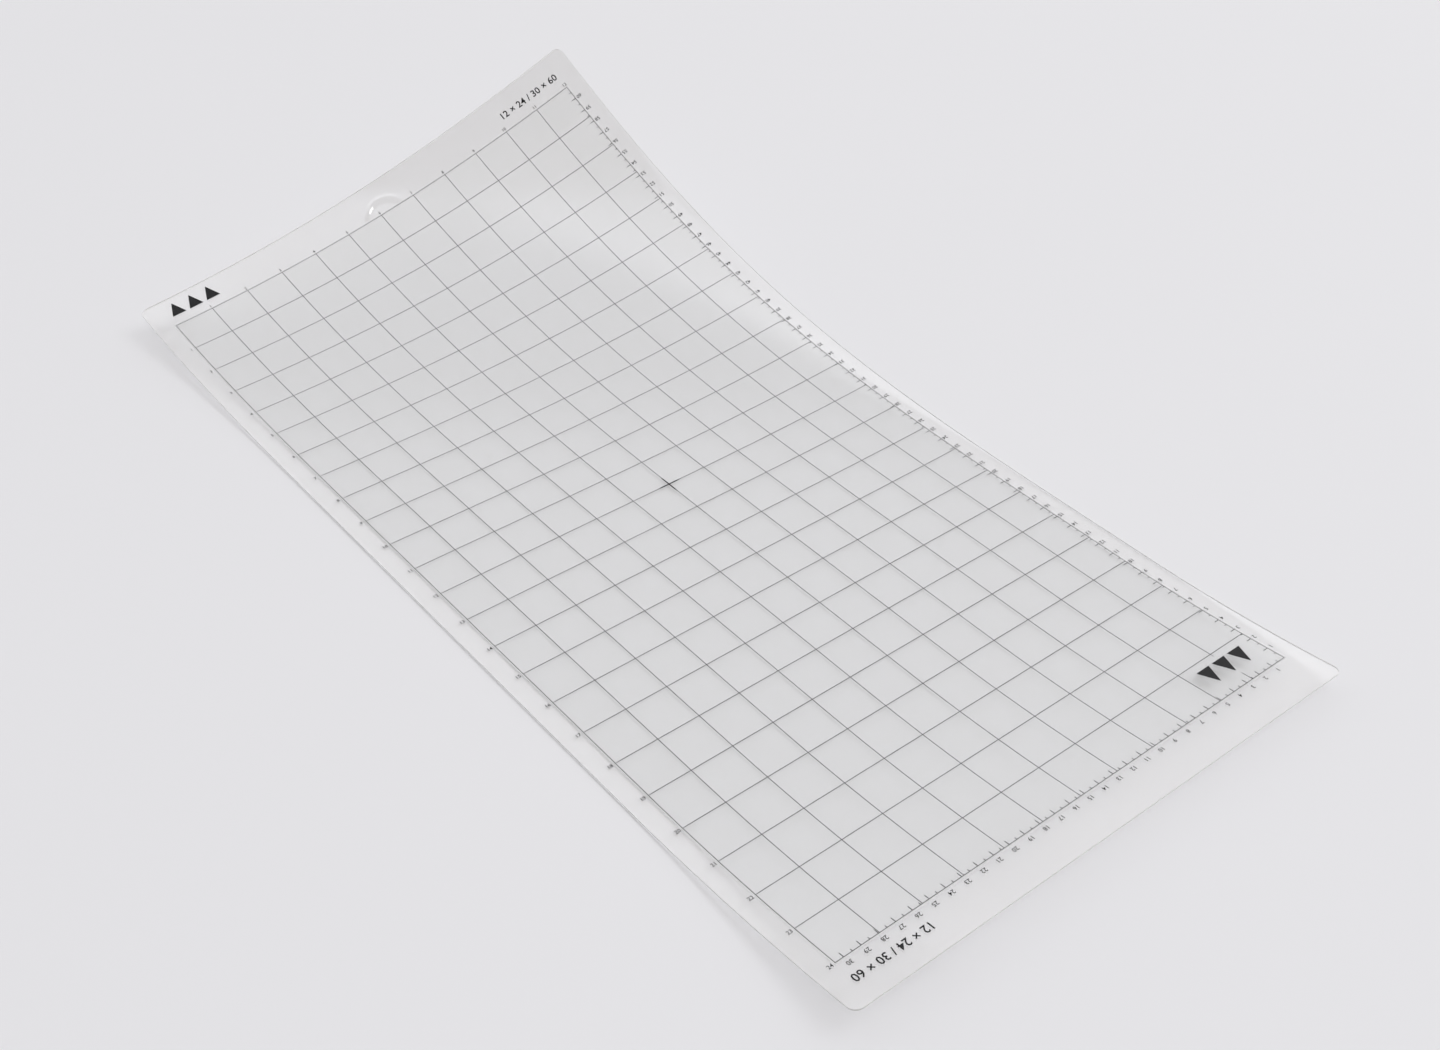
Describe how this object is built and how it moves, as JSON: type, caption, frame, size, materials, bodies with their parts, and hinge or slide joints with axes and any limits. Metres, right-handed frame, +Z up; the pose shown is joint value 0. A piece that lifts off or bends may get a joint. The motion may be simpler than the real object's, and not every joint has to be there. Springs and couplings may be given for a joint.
{
  "type": "cutting machine grip mat",
  "caption": "Thin see-through plastic cutting mat with a tacky coat, a printed inch grid and centimetre rulers; one corner curls up.",
  "frame": {"origin": "on the table under the middle of the mat's outer box", "axes": "+X across the mat to the side with the centimetre ruler, +Y along it to the back end, +Z up out of the tacky face"},
  "size_m": [0.3306, 0.6589, 0.1165],
  "materials": {
    "clear_sheet": "frosted see-through, satin on the bare margins",
    "tacky_coat": "clear tacky film, slightly hazy",
    "print_ink": "flat black screen print"
  },
  "bodies": {
    "root": {"base_sheet": "clear_sheet", "grip_coat": "tacky_coat", "print_long_lines": "print_ink", "print_cross_lines": "print_ink", "print_centre_mark": "print_ink", "print_side_cm_ticks": "print_ink", "print_front_cm_ticks": "print_ink", "print_feed_arrows": "print_ink"}
  },
  "joints": []
}
